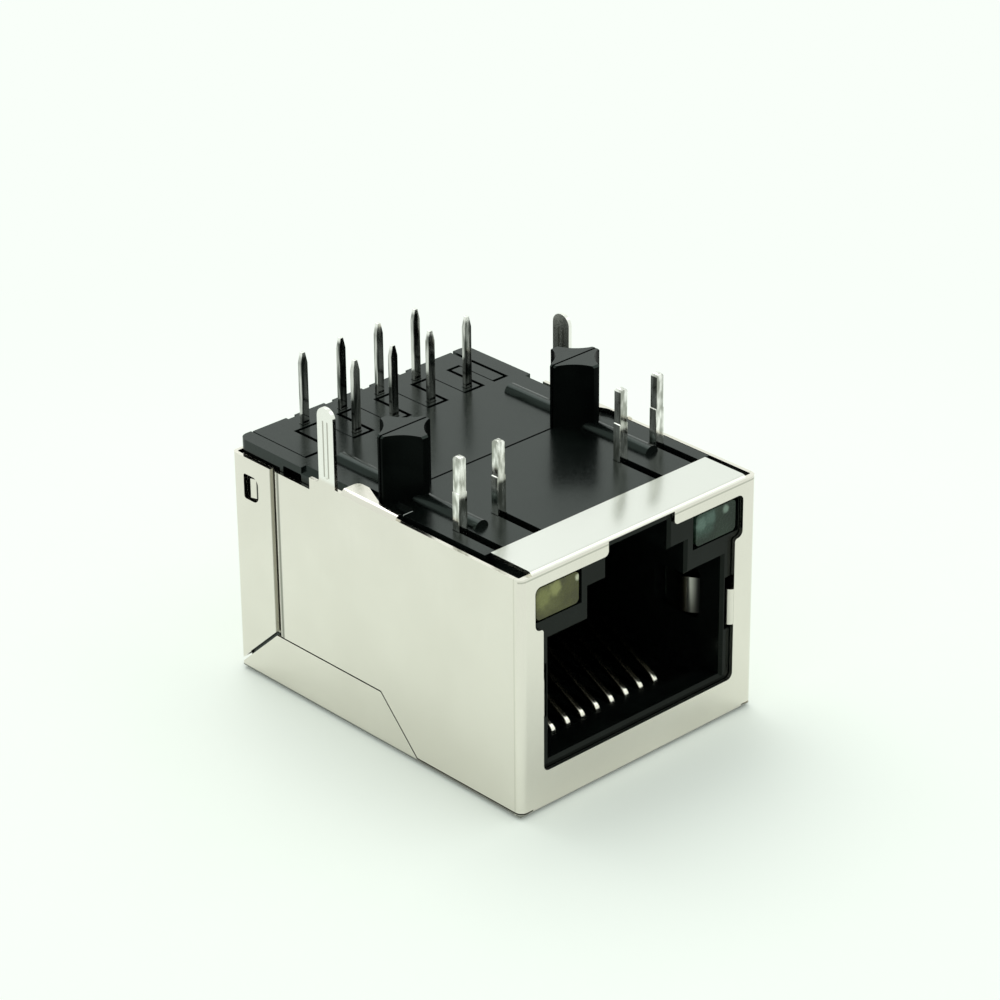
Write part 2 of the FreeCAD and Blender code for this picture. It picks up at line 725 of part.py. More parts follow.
def make_contact(x, tail_at):
    """Spring wire: tail at the inner board, run under the floor, bend, slanted spring."""
    turn = math.radians(180 - contact_rise)
    vertex = contact_front_at + contact_t / 2 + contact_bend_r - contact_bend_r * math.tan(turn / 2)
    tip_z = contact_run_z + (contact_tip_at - vertex) * math.tan(math.radians(contact_rise))
    path = [(tail_at, board_z + board_t + tail_stub), (tail_at, contact_run_z), (vertex, contact_run_z),
            (contact_tip_at, tip_z)]
    profile = band(path, [tail_bend_r, contact_bend_r], contact_t, in_side(0))
    return one_solid(along_x(profile, x - contact_w / 2, x + contact_w / 2))


def contact_places():
    first = -(contact_count - 1) * contact_pitch / 2
    return [(first + i * contact_pitch, tail_a_at + (i % 2) * tail_row_gap) for i in range(contact_count)]


def make_contact_carrier():
    """Carrier under the plug: a floor piece with a groove for each contact."""
    body = carrier_slot(0)
    cuts = []
    for x, tail_at in contact_places():
        half = contact_w / 2 + groove_gap
        cuts.append(behind_box(x - half, x + half, contact_front_at - 2 * groove_gap, far,
                               contact_run_z - contact_t / 2 - groove_gap, carrier_top + seam))
    return one_solid(body.cut(cuts).removeSplitter())


def make_tail_spacer():
    """Upright spacer between the cavity's wall and the contact tails."""
    return behind_box(-carrier_half, carrier_half, chamber_at + carrier_gap,
                      tail_a_at - contact_t / 2 - groove_gap,
                      contact_run_z + contact_t / 2 + tail_bend_r, board_z - tail_stub)


def make_lamp(side):
    """Lamp body with rounded long edges; its front fills the window in the mouth."""
    x0, x1, z0, z1 = lamp_limits()
    lens = rectangle(x0 + lens_in, x1 - lens_in, z0, z1 - lens_drop, lamp_r, in_front(back(lamp_front)))
    body = rectangle(x0, x1, z0, z1, lamp_r, in_front(back(lamp_front + lens_l)))
    lamp = joined([lens.extrude(Vector(0, lens_l, 0)), body.extrude(Vector(0, lamp_l - lens_l, 0))])
    return one_solid(lamp if side > 0 else lamp.mirror(Vector(0, 0, 0), Vector(1, 0, 0)))


def make_lamp_lead(x):
    """Lamp lead: out of the lamp's back, bent up, shouldered, through the board face."""
    start = lamp_front + lamp_l
    path = [(start, lamp_z), (lead_at, lamp_z), (lead_at, lead_shoulder)]
    lower = along_x(band(path, [lead_bend_r], lead_t, in_side(0)), x - lead_w / 2, x + lead_w / 2)
    half = lead_tip_w / 2
    y = back(lead_at)
    upper = box(x - half, x + half, y - half, y + half, lead_shoulder - lead_tip_r, lead_top)
    upper = upper.makeFillet(lead_tip_r, [e for e in upper.Edges if e.BoundBox.ZMin > lead_top - 0.01])
    return one_solid(joined([lower, upper]))


def make_circuit_board():
    """Small board between contacts and pins, with a clearance hole for each."""
    front = chamber_at + carrier_gap + seam
    board = behind_box(-board_half, board_half, front, moulding_back - board_rear_gap, board_z,
                       board_z + board_t)
    cuts = []
    for x, tail_at in contact_places():
        half_x = contact_w / 2 + hole_gap
        half_y = contact_t / 2 + hole_gap
        cuts.append(behind_box(x - half_x, x + half_x, tail_at - half_y, tail_at + half_y, -far, far))
    half = pin_w / 2 + hole_gap
    deep = pin_t / 2 + hole_gap
    for row, at in ((0, row_a_at), (1, row_b_at)):
        for x in row_places(row):
            cuts.append(behind_box(x - half, x + half, at - deep, at + deep, -far, far))
    return one_solid(board.cut(cuts))


def ring_centre(x, at, diameter):
    return Vector(x, back(at), base_z + skin + lap_gap + winding_t + diameter / 2)


def make_ring(x, at, diameter, bore, thickness):
    """Ferrite ring that stands on edge in the chamber."""
    centre = ring_centre(x, at, diameter) - Vector(0, thickness / 2, 0)
    ring = Part.makeCylinder(diameter / 2, thickness, centre, Vector(0, 1, 0))
    return one_solid(ring.cut(Part.makeCylinder(bore / 2, thickness, centre, Vector(0, 1, 0))))


def make_winding(x, at, diameter, bore, thickness):
    """Wire sleeve wound round the ring, open over a short arc at the top."""
    centre = ring_centre(x, at, diameter)
    inner = [bore / 2, diameter / 2, thickness / 2]
    outer = [bore / 2 - winding_t, diameter / 2 + winding_t, thickness / 2 + winding_t]
    shapes = []
    start = math.radians(90 + winding_open / 2)
    for low, high, half in (outer, inner):
        section = [(low, -half), (high, -half), (high, half), (low, half)]
        place = lambda a, b: centre + Vector(a * math.cos(start), b, a * math.sin(start))
        profile = face(section, [0] * 4, place)
        shapes.append(profile.revolve(centre, Vector(0, -1, 0), 360 - winding_open))
    return one_solid(shapes[0].cut(shapes[1]))


def make_chip(x):
    """Chip resistor on the board's upper side."""
    y = back(chip_at)
    top = board_z + board_t
    return box(x - chip_l / 2, x + chip_l / 2, y - chip_w / 2, y + chip_w / 2, top, top + chip_t)


def make_capacitor():
    """Capacitor under the board, between contact tails and pins."""
    y = back(chip_at)
    return box(-capacitor_w / 2, capacitor_w / 2, y - capacitor_l / 2, y + capacitor_l / 2,
               board_z - capacitor_t, board_z)


def save(name, shape):
    shape.exportStep("parts/" + name + ".step")
    print(name, len(shape.Solids), "solid", round(shape.Volume, 4), "mm3", shape.isValid())


def main():
    os.makedirs("parts", exist_ok=True)
    save("shield", make_shield())
    save("front_housing", make_front_housing())
    save("rear_housing", make_rear_housing())
    save("pin_block", make_pin_block())
    save("contact_carrier", make_contact_carrier())
    save("tail_spacer", make_tail_spacer())
    save("circuit_board", make_circuit_board())
    for number, (x, tail_at) in enumerate(contact_places(), 1):
        save("contact_%d" % number, make_contact(x, tail_at))
    pins = [(x, row_a_at) for x in row_places(0)] + [(x, row_b_at) for x in row_places(1)]
    for number, (x, at) in enumerate(sorted(pins), 1):
        save("signal_pin_%d" % number, make_pin(x, at))
    for side, name in ((-1, "left"), (1, "right")):
        save("led_" + name, make_lamp(side))
        for x, place in zip(lead_places(), ("inner", "outer")):
            save("led_%s_%s_lead" % (name, place), make_lamp_lead(side * x))
        x = side * ring_x
        save("transformer_core_" + name, make_ring(x, transformer_at, transformer_d, transformer_bore,
                                                   transformer_t))
        save("transformer_winding_" + name, make_winding(x, transformer_at, transformer_d, transformer_bore,
                                                         transformer_t))
        save("choke_core_" + name, make_ring(x, choke_at, choke_d, choke_bore, choke_t))
        save("choke_winding_" + name, make_winding(x, choke_at, choke_d, choke_bore, choke_t))
    for number in range(chip_count):
        x = (number - (chip_count - 1) / 2) * chip_pitch
        save("resistor_%d" % (number + 1), make_chip(x))
    save("capacitor", make_capacitor())


main()
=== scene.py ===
import json
import math
import bmesh
import bpy
import numpy as np
from mathutils import Matrix, Vector


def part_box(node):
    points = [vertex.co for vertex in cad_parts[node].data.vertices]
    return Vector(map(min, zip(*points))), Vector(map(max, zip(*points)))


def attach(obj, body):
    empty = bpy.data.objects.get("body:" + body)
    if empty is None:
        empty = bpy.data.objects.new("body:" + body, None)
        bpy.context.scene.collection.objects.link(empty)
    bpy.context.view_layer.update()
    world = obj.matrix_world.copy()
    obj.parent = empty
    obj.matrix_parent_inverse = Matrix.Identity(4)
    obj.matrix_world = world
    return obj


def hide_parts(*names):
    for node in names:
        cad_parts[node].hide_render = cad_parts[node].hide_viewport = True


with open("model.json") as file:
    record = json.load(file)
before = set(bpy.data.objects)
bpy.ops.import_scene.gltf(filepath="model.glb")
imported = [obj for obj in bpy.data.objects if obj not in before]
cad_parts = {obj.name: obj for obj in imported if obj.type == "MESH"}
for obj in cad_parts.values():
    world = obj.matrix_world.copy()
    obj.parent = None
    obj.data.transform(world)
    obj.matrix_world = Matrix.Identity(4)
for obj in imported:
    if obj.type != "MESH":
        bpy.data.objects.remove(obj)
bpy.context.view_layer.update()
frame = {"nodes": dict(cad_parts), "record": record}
nodes = frame["nodes"]
mm = 0.001
print("frame loaded:", len(nodes), "nodes")


# shader groups: they put out masks and patterns only

def makeGroup(name, inputs, outputs):
    group = bpy.data.node_groups.new(name, "ShaderNodeTree")
    for label, kind, value in inputs:
        item = group.interface.new_socket(label, in_out="INPUT", socket_type=kind)
        if value is not None:
            item.default_value = value
    for label, kind in outputs:
        group.interface.new_socket(label, in_out="OUTPUT", socket_type=kind)
    return group, group.nodes.new("NodeGroupInput"), group.nodes.new("NodeGroupOutput")


def feed(tree, socket, value):
    # a number or vector is set on the socket, an output is linked to it
    if isinstance(value, bpy.types.NodeSocket):
        tree.links.new(value, socket)
    else:
        socket.default_value = value


def mathNode(tree, operation, first, second):
    node = tree.nodes.new("ShaderNodeMath")
    node.operation = operation
    feed(tree, node.inputs[0], first)
    feed(tree, node.inputs[1], second)
    return node.outputs[0]


def vectorNode(tree, operation, first, second=(0.0, 0.0, 0.0)):
    node = tree.nodes.new("ShaderNodeVectorMath")
    node.operation = operation
    feed(tree, node.inputs[0], first)
    feed(tree, node.inputs[1], second)
    return node


def rampBetween(tree, value, low, high, bottom=0.0, top=1.0):
    # smooth step of the value from low to high, put between bottom and top
    node = tree.nodes.new("ShaderNodeMapRange")
    node.interpolation_type = "SMOOTHSTEP"
    values = {"Value": value, "From Min": low, "From Max": high, "To Min": bottom, "To Max": top}
    for label, given in values.items():
        feed(tree, node.inputs[label], given)
    return node.outputs["Result"]


def mixTones(tree, mask, under, over):
    node = tree.nodes.new("ShaderNodeMix")
    node.data_type = "RGBA"
    feed(tree, node.inputs["Factor"], mask)
    feed(tree, node.inputs["A"], under)
    feed(tree, node.inputs["B"], over)
    return node.outputs["Result"]


noises = {"cloudDetail": 3.0, "cloudRough": 0.55, "grainDetail": 2.0, "rimScale": 3200.0,
          "rimDetail": 3.0, "full": 0.35}

# cloudy handling marks and a fine grain: two noises, the small one stretched along one axis
cloudGroup, gIn, gOut = makeGroup(
    "cloudAndGrain",
    [("Coordinates", "NodeSocketVector", None), ("Cloud Scale", "NodeSocketFloat", 300.0),
     ("Grain Scale", "NodeSocketFloat", 9000.0), ("Stretch", "NodeSocketVector", (1.0, 1.0, 1.0))],
    [("Cloud", "NodeSocketFloat"), ("Grain", "NodeSocketFloat")])
cloud = cloudGroup.nodes.new("ShaderNodeTexNoise")
cloud.inputs["Detail"].default_value = noises["cloudDetail"]
cloud.inputs["Roughness"].default_value = noises["cloudRough"]
cloudGroup.links.new(gIn.outputs["Coordinates"], cloud.inputs["Vector"])
cloudGroup.links.new(gIn.outputs["Cloud Scale"], cloud.inputs["Scale"])
pulled = vectorNode(cloudGroup, "MULTIPLY", gIn.outputs["Coordinates"], gIn.outputs["Stretch"])
grain = cloudGroup.nodes.new("ShaderNodeTexNoise")
grain.inputs["Detail"].default_value = noises["grainDetail"]
cloudGroup.links.new(pulled.outputs[0], grain.inputs["Vector"])
cloudGroup.links.new(gIn.outputs["Grain Scale"], grain.inputs["Scale"])
cloudGroup.links.new(cloud.outputs["Fac"], gOut.inputs["Cloud"])
cloudGroup.links.new(grain.outputs["Fac"], gOut.inputs["Grain"])

# round glow: 1 out to the share "full" of the radius, smoothly down to 0 at the radius, with its rim
# broken up by noise
spotGroup, gIn, gOut = makeGroup(
    "softSpot",
    [("Coordinates", "NodeSocketVector", None), ("Centre", "NodeSocketVector", (0.0, 0.0, 0.0)),
     ("Radius", "NodeSocketFloat", 0.5 * mm), ("Ragged", "NodeSocketFloat", 0.3)],
    [("Mask", "NodeSocketFloat")])
ragged = spotGroup.nodes.new("ShaderNodeTexNoise")
ragged.inputs["Scale"].default_value = noises["rimScale"]
ragged.inputs["Detail"].default_value = noises["rimDetail"]
spotGroup.links.new(gIn.outputs["Coordinates"], ragged.inputs["Vector"])
away = vectorNode(spotGroup, "DISTANCE", gIn.outputs["Coordinates"], gIn.outputs["Centre"]).outputs["Value"]
share = mathNode(spotGroup, "DIVIDE", away, gIn.outputs["Radius"])
wobble = mathNode(spotGroup, "SUBTRACT", ragged.outputs["Fac"], 0.5)
wobble = mathNode(spotGroup, "MULTIPLY", wobble, gIn.outputs["Ragged"])
share = mathNode(spotGroup, "ADD", share, wobble)
spotGroup.links.new(rampBetween(spotGroup, share, noises["full"], 1.0, 1.0, 0.0), gOut.inputs["Mask"])

# soft box on both sides of the jack: 1 inside the limits, 0 a feather's width outside them
boxGroup, gIn, gOut = makeGroup(
    "pairedBox",
    [("Coordinates", "NodeSocketVector", None), ("Centre", "NodeSocketVector", (0.0, 0.0, 0.0)),
     ("Half Size", "NodeSocketVector", (mm, mm, mm)), ("Feather", "NodeSocketFloat", 0.05 * mm)],
    [("Mask", "NodeSocketFloat")])
split = boxGroup.nodes.new("ShaderNodeSeparateXYZ")
boxGroup.links.new(gIn.outputs["Coordinates"], split.inputs[0])
folded = boxGroup.nodes.new("ShaderNodeCombineXYZ")
feed(boxGroup, folded.inputs["X"], mathNode(boxGroup, "ABSOLUTE", split.outputs["X"], 0.0))
feed(boxGroup, folded.inputs["Y"], split.outputs["Y"])
feed(boxGroup, folded.inputs["Z"], split.outputs["Z"])
offset = vectorNode(boxGroup, "SUBTRACT", folded.outputs[0], gIn.outputs["Centre"]).outputs[0]
past = vectorNode(boxGroup, "SUBTRACT", vectorNode(boxGroup, "ABSOLUTE", offset).outputs[0],
                  gIn.outputs["Half Size"]).outputs[0]
limits = boxGroup.nodes.new("ShaderNodeSeparateXYZ")
boxGroup.links.new(past, limits.inputs[0])
most = mathNode(boxGroup, "MAXIMUM", limits.outputs["X"], limits.outputs["Y"])
most = mathNode(boxGroup, "MAXIMUM", most, limits.outputs["Z"])
boxGroup.links.new(rampBetween(boxGroup, most, 0.0, gIn.outputs["Feather"], 1.0, 0.0), gOut.inputs["Mask"])


def useGroup(tree, group, **values):
    # keyword names are the group's input names without their spaces
    node = tree.nodes.new("ShaderNodeGroup")
    node.node_tree = group
    for socket in node.inputs:
        key = socket.name.replace(" ", "")
        if key in values:
            feed(tree, socket, values[key])
    return node


spans = {"tones": (0.35, 0.65), "rough": (0.3, 0.7)}  # parts of a noise's range that are used
coatRough = 0.05


# one Principled surface: two tones in clouds or streaks, uneven roughness, fine relief, then bright spots
# (centre, radius, colour) and boxes of painted shade and painted highlight (centre, half size, feather,
# colour, roughness) where the look lists them; these lengths, and the heights of wave and relief, are in
# millimetres
def makeFinish(name, look):
    material = bpy.data.materials.new(name)
    material.use_nodes = True
    tree = material.node_tree
    shader = tree.nodes["Principled BSDF"]
    place = tree.nodes.new("ShaderNodeTexCoord").outputs["Object"]
    pattern = useGroup(tree, cloudGroup, Coordinates=place, CloudScale=look["cloud"],
                       GrainScale=look["grain"], Stretch=look.get("stretch", (1.0, 1.0, 1.0)))
    patches = pattern.outputs["Grain" if look.get("streaks") else "Cloud"]
    share = rampBetween(tree, patches, *spans["tones"])
    tone = mixTones(tree, share, (*look["dark"], 1.0), (*look["light"], 1.0))
    for centre, radius, colour in look.get("spots", ()):
        spot = useGroup(tree, spotGroup, Coordinates=place, Centre=[v * mm for v in centre],
                        Radius=radius * mm, Ragged=look["ragged"])
        tone = mixTones(tree, spot.outputs["Mask"], tone, (*colour, 1.0))
    rough = rampBetween(tree, pattern.outputs["Grain"], *spans["rough"], *look["rough"])
    # painted shade and painted highlights: each box lays its colour over the tone and raises the roughness
    for centre, halfSize, feather, colour, dull in look.get("creases", ()):
        paintedMark = useGroup(tree, boxGroup, Coordinates=place, Centre=[v * mm for v in centre],
                          HalfSize=[v * mm for v in halfSize], Feather=feather * mm)
        tone = mixTones(tree, paintedMark.outputs["Mask"], tone, (*colour, 1.0))
        rough = mathNode(tree, "MAXIMUM", rough, mathNode(tree, "MULTIPLY", paintedMark.outputs["Mask"], dull))
    feed(tree, shader.inputs["Base Color"], tone)
    feed(tree, shader.inputs["Roughness"], rough)
    bumps = [("Cloud", look.get("wave")), ("Grain", look.get("relief"))]
    for output, height in [bump for bump in bumps if bump[1]]:
        relief = tree.nodes.new("ShaderNodeBump")
        relief.inputs["Distance"].default_value = height * mm
        feed(tree, relief.inputs["Height"], pattern.outputs[output])
        feed(tree, shader.inputs["Normal"], relief.outputs["Normal"])
    shader.inputs["Metallic"].default_value = look.get("metal", 0.0)
    shader.inputs["IOR"].default_value = look.get("ior", 1.5)
    shader.inputs["Specular Tint"].default_value = (*look.get("tint", (1.0, 1.0, 1.0)), 1.0)
    shader.inputs["Coat Weight"].default_value = look.get("coat", 0.0)
    shader.inputs["Coat Roughness"].default_value = coatRough
    return material


blackNylon = {"dark": (0.0018, 0.0026, 0.0023), "light": (0.0036, 0.0050, 0.0045), "cloud": 420,
              "grain": 9000, "rough": (0.17, 0.26), "wave": 0.006}

# painted shade and painted highlights on the folded sheet: darker bands at its edges, folds, feet, tab groove
# and spring finger, where shade falls and where the faces mirror something dark; lighter bands are painted
# highlights on the strip, its front line and the tab
sheetPaintedLight = {
    # painted shade: the flap's edge, the joggle step and its fold, the mouth's edge, the tongue's root, the
    # feet
    "flapEdge": ((7.97, 7.60, 7.8), (0.16, 0.03, 4.8), 0.04, (0.42, 0.415, 0.36), 0.3),
    "step": ((8.1, 7.05, 7.8), (0.05, 0.07, 4.8), 0.06, (0.37, 0.365, 0.32), 0.25),
    "stepFold": ((8.1, 7.03, 7.8), (0.05, 0.01, 4.8), 0.03, (0.22, 0.215, 0.19), 0.25),
    "mouthEdge": ((3.3, -10.45, 2.1), (3.30, 0.11, 0.03), 0.04, (0.20, 0.20, 0.18), 0.3),
    "tongue": ((7.75, 8.84, 10.8), (0.20, 0.05, 0.70), 0.05, (0.08, 0.08, 0.07), 0.5),
    "sideFoot": ((8.1, 0.0, 0.0), (0.50, 11.0, 0.16), 0.06, (0.22, 0.225, 0.20), 0.35),
    "frontFoot": ((4.1, -10.6, 0.0), (4.20, 0.35, 0.12), 0.06, (0.22, 0.225, 0.20), 0.35),
    # painted shade on the strip's fold, then painted highlights on the strip's front line and over the strip
    "stripFold": ((4.1, -10.6, 12.95), (4.20, 0.20, 0.02), 0.05, (0.50, 0.49, 0.43), 0.2),
    "stripLine": ((4.1, -10.5, 13.22), (4.20, 0.14, 0.06), 0.06, (0.93, 0.92, 0.85), 0.2),
    "strip": ((4.1, -9.10, 13.3), (4.20, 1.30, 0.06), 0.08, (0.74, 0.75, 0.71), 0.2),
    # painted highlight on the tab, painted shade in its groove and on the front corner's upright fold
    "tab": ((8.0, 3.20, 15.6), (0.30, 0.80, 2.10), 0.30, (0.86, 0.86, 0.81), 0.15),
    "tabGrooveFront": ((8.0, 3.04, 15.1), (0.30, 0.02, 1.50), 0.05, (0.40, 0.39, 0.34), 0.2),
    "tabGrooveBack": ((8.0, 3.36, 15.1), (0.30, 0.02, 1.50), 0.05, (0.40, 0.39, 0.34), 0.2),
    "uprightFold": ((8.1, -10.16, 6.6), (0.30, 0.02, 6.50), 0.05, (0.68, 0.655, 0.58), 0.2),
    # painted shade on the spring finger inside the mouth
    "fingerMiddle": ((6.1, -7.4, 6.2), (0.55, 1.60, 1.40), 0.30, (0.47, 0.47, 0.43), 0.1),
    "fingerBend": ((5.7, -8.1, 5.2), (0.35, 0.35, 0.10), 1.40, (0.20, 0.20, 0.18), 0.2),
    "fingerTip": ((6.1, -9.0, 6.2), (0.55, 0.43, 1.40), 0.45, (0.01, 0.01, 0.01), 0.2),
}
# besides, a painted highlight on the moulding under the hold-down edge, painted shade on the slopes of the
# contacts, and a painted highlight along the tips of the pins
finishes = {
    "plated_sheet": {"dark": (0.745, 0.715, 0.645), "light": (0.775, 0.745, 0.675), "cloud": 170,
                     "grain": 5000, "stretch": (1.0, 1.0, 0.15), "rough": (0.15, 0.20), "metal": 1.0,
                     "wave": 0.008, "creases": sheetPaintedLight.values()},
    "black_moulding": {**blackNylon, "ior": 1.36, "tint": (0.76, 1.0, 0.90),
                       # painted highlight on the moulding's edge under the hold-down
                       "creases": [((7.5, -1.90, 13.25), (0.45, 0.03, 0.03), 0.04,
                                    (0.42, 0.44, 0.42), 0.5)]},
    # darker, less reflective copies of the black moulding: painted shade on the rim of the mouth and on the
    # posts' walls and the sides behind the sheet
    "moulding_painted_shade_front": {**blackNylon, "ior": 1.23, "tint": (0.88, 1.0, 0.86)},
    "moulding_painted_shade_wall": {"dark": (0.0014, 0.0020, 0.0018), "light": (0.0028, 0.0038, 0.0034), "cloud": 420,
                     "grain": 9000, "rough": (0.22, 0.32), "ior": 1.08, "tint": (0.84, 1.0, 0.92)},
    "laminate": {"dark": (0.02, 0.11, 0.045), "light": (0.04, 0.17, 0.07), "cloud": 900, "grain": 12000,
                 "rough": (0.35, 0.5), "relief": 0.0005},
    "gold_wire": {"dark": (0.80, 0.77, 0.66), "light": (0.92, 0.90, 0.80), "cloud": 900, "grain": 9000,
                  "rough": (0.15, 0.22), "metal": 1.0,
                  # painted shade on the contacts' slopes behind the bend, which lie in the mouth's dark
                  "creases": [((2.0, -3.9, 3.5), (3.0, 3.8, 3.0), 0.30, (0.13, 0.12, 0.085), 0.1)]},
    # the tinned finishes' wide streaks of dark and light are partly uneven tin and partly painted reflection
    "tinned_pin": {"dark": (0.07, 0.08, 0.07), "light": (0.60, 0.61, 0.57), "cloud": 1300, "grain": 3800,
                   "streaks": True, "stretch": (1.0, 1.0, 0.12), "rough": (0.07, 0.14), "metal": 1.0,
                   # painted highlight along the pins' tips
                   "creases": [((2.5, 8.5, 17.25), (4.0, 3.0, 0.10), 0.25, (0.85, 0.86, 0.81), 0.1)]},
    "tinned_lead": {"dark": (0.34, 0.35, 0.31), "light": (0.95, 0.95, 0.91), "cloud": 1500, "grain": 3000,
                    "streaks": True, "stretch": (1.0, 1.0, 0.3), "rough": (0.07, 0.15), "metal": 1.0},
    "lamp_amber": {"dark": (0.042, 0.042, 0.008), "light": (0.064, 0.066, 0.012), "cloud": 900, "grain": 6000,
                   "rough": (0.22, 0.3), "ior": 1.33, "coat": 0.15, "ragged": 0.7,
                   "spots": [((-6.05, -10.35, 11.45), 1.30, (0.088, 0.092, 0.024)),
                             ((-6.35, -10.35, 11.50), 0.70, (0.16, 0.17, 0.050)),
                             ((-5.55, -10.35, 11.75), 0.55, (0.22, 0.23, 0.080)),
                             # painted highlight on the amber lens; the spots above are the lamp's inner parts
                             # seen through the lens
                             ((-4.08, -10.35, 11.78), 0.24, (0.48, 0.50, 0.36))]},
    "lamp_green": {"dark": (0.008, 0.018, 0.010), "light": (0.014, 0.029, 0.017), "cloud": 900, "grain": 6000,
                   "rough": (0.22, 0.3), "ior": 1.28, "coat": 0.05, "ragged": 0.7,
                   "spots": [((4.60, -10.35, 11.55), 1.10, (0.032, 0.064, 0.048)),
                             ((4.40, -10.35, 11.55), 0.50, (0.085, 0.14, 0.115)),
                             ((5.05, -10.35, 11.70), 0.45, (0.065, 0.11, 0.09)),
                             ((6.10, -10.35, 11.78), 0.30, (0.16, 0.22, 0.18))]},
    "ferrite": {"dark": (0.035, 0.035, 0.037), "light": (0.06, 0.06, 0.063), "cloud": 1500, "grain": 14000,
                "rough": (0.55, 0.75), "relief": 0.0012},
    "enamelled_wire": {"dark": (0.42, 0.13, 0.045), "light": (0.62, 0.22, 0.08), "cloud": 2200, "grain": 9000,
                       "rough": (0.22, 0.34), "coat": 0.5},
    "chip_ceramic": {"dark": (0.20, 0.15, 0.10), "light": (0.30, 0.24, 0.17), "cloud": 1800, "grain": 14000,
                     "rough": (0.4, 0.6), "relief": 0.0005},
}
materials = {slot: makeFinish(slot, look) for slot, look in finishes.items()}
slotOf = {row["node"]: row["material_slot"] for row in frame["record"]["subparts"]}
print("finishes made:", len(materials))


# CAD shapes that show keep their form: a merged copy gets soft edges and smooth folds

# by the first part of a name that fits: width of the soft edge in millimetres, and its segments
softEdges = {"shield": (0.03, 2), "front_housing": (0.05, 2), "rear_housing": (0.05, 2),
             "pin_block": (0.04, 2), "signal_pin": (0.025, 2), "contact_carrier": (0.03, 2),
             "contact": (0.09, 3), "led_": (0.04, 2)}
# angles in degrees: faces within "flat" join, folds under "fold" shade smooth, edges over "edge" soften
softening = {"weld": 0.0005, "flat": 0.4, "fold": 28, "edge": 40}
# faces of the moulding that take its painted-shade copies, placed in millimetres: foot of the posts, sides
# that lie behind the sheet, rim of the mouth; "upright" and "rimTurn" are limits on the parts of a face's
# normal along Z and Y
paintedShadeFaces = {"postFrom": 13.9, "sideOut": 7.4, "sideTop": 11.0, "upright": 0.3,
               "rimAhead": -9.5, "rimTurn": -0.6}


def paintedShadeSlot(normal, middle):
    # slot of the moulding's painted shade: 1 on the posts' upright walls and the sides behind the sheet, 2 on
    # the rim of the mouth, else 0
    if normal.y < paintedShadeFaces["rimTurn"] and middle.y < paintedShadeFaces["rimAhead"]:
        return 2
    hidden = abs(middle.x) > paintedShadeFaces["sideOut"] and middle.z < paintedShadeFaces["sideTop"]
    return int(abs(normal.z) < paintedShadeFaces["upright"] and (middle.z > paintedShadeFaces["postFrom"] or hidden))


def softCopy(nodeName, width, segments):
    moulded = slotOf[nodeName] == "black_moulding"
    mesh = nodes[nodeName].data.copy()
    mesh.materials.clear()
    mesh.materials.append(materials[slotOf[nodeName]])
    # the moulding also takes its two painted-shade copies
    if moulded:
        mesh.materials.append(materials["moulding_painted_shade_wall"])
        mesh.materials.append(materials["moulding_painted_shade_front"])
    work = bmesh.new()
    work.from_mesh(mesh)
    bmesh.ops.remove_doubles(work, verts=work.verts, dist=softening["weld"] * mm)
    flat = math.radians(softening["flat"])
    bmesh.ops.dissolve_limit(work, angle_limit=flat, verts=work.verts, edges=work.edges)
    for polygon in work.faces:
        polygon.smooth = True
        if moulded:
            polygon.material_index = paintedShadeSlot(polygon.normal, polygon.calc_center_median() / mm)
    fold = math.radians(softening["fold"])
    for edge in work.edges:
        edge.smooth = len(edge.link_faces) == 2 and edge.calc_face_angle() < fold
    work.to_mesh(mesh)
    work.free()
    piece = bpy.data.objects.new(nodeName + "_soft", mesh)
    bpy.context.scene.collection.objects.link(piece)
    bevel = piece.modifiers.new("softEdges", "BEVEL")
    bevel.limit_method = "ANGLE"
    bevel.angle_limit = math.radians(softening["edge"])
    bevel.width = width * mm
    bevel.segments = segments
    bevel.harden_normals = True
    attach(piece, "root")
    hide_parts(nodeName)


for name, node in sorted(nodes.items()):
    node.data.materials.clear()
    node.data.materials.append(materials[slotOf[name]])
    found = [edge for key, edge in softEdges.items() if key in name]
    if found:
        softCopy(name, *found[0])
print("pieces dressed")


# inside the chamber: wound wires and small chips, in millimetres until they go into a mesh

def newPiece(name, points, faces, slots, faceSlots=None):
    mesh = bpy.data.meshes.new(name)
    mesh.from_pydata((points * mm).tolist(), [], faces)
    for slot in slots:
        mesh.materials.append(materials[slot])
    mesh.polygons.foreach_set("material_index", faceSlots or [0] * len(faces))
    piece = bpy.data.objects.new(name, mesh)
    bpy.context.scene.collection.objects.link(piece)
    work = bmesh.new()
    work.from_mesh(mesh)
    bmesh.ops.recalc_face_normals(work, faces=work.faces)
    work.to_mesh(mesh)
    work.free()
    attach(piece, "root")
    return piece


def tubeFaces(stations, sides):
    # quads between neighbouring stations of a closed outline, and a face over each end
    i, j = np.meshgrid(np.arange(stations - 1), np.arange(sides), indexing="ij")
    after = (j + 1) % sides
    quads = np.stack((i * sides + j, i * sides + after, (i + 1) * sides + after, (i + 1) * sides + j), -1)
    ends = [list(range(sides)), list(range((stations - 1) * sides, stations * sides))]
    return quads.reshape(-1, 4).tolist() + ends


def grownRectangle(halfWide, halfDeep, grow, steps, bends=7):
    # rectangle moved outward by grow, so that quarter circles join its sides, in equal steps;
    # bends is the number of points along each quarter circle before that
    turn = np.linspace(0, np.pi / 2, bends)
    quarter = np.arange(4)[:, None] * np.pi / 2
    corner = np.array([(1, 1), (-1, 1), (-1, -1), (1, -1)]) * (halfWide, halfDeep)
    around = corner[:, None, :] + grow * np.stack((np.cos(turn + quarter), np.sin(turn + quarter)), -1)
    around = np.vstack((around.reshape(-1, 2), around[0, :1]))
    along = np.concatenate(([0.0], np.cumsum(np.linalg.norm(np.diff(around, axis=0), axis=1))))
    even = np.linspace(0, along[-1], steps, endpoint=False)
    return np.stack([np.interp(even, along, around[:, axis]) for axis in (0, 1)], -1)


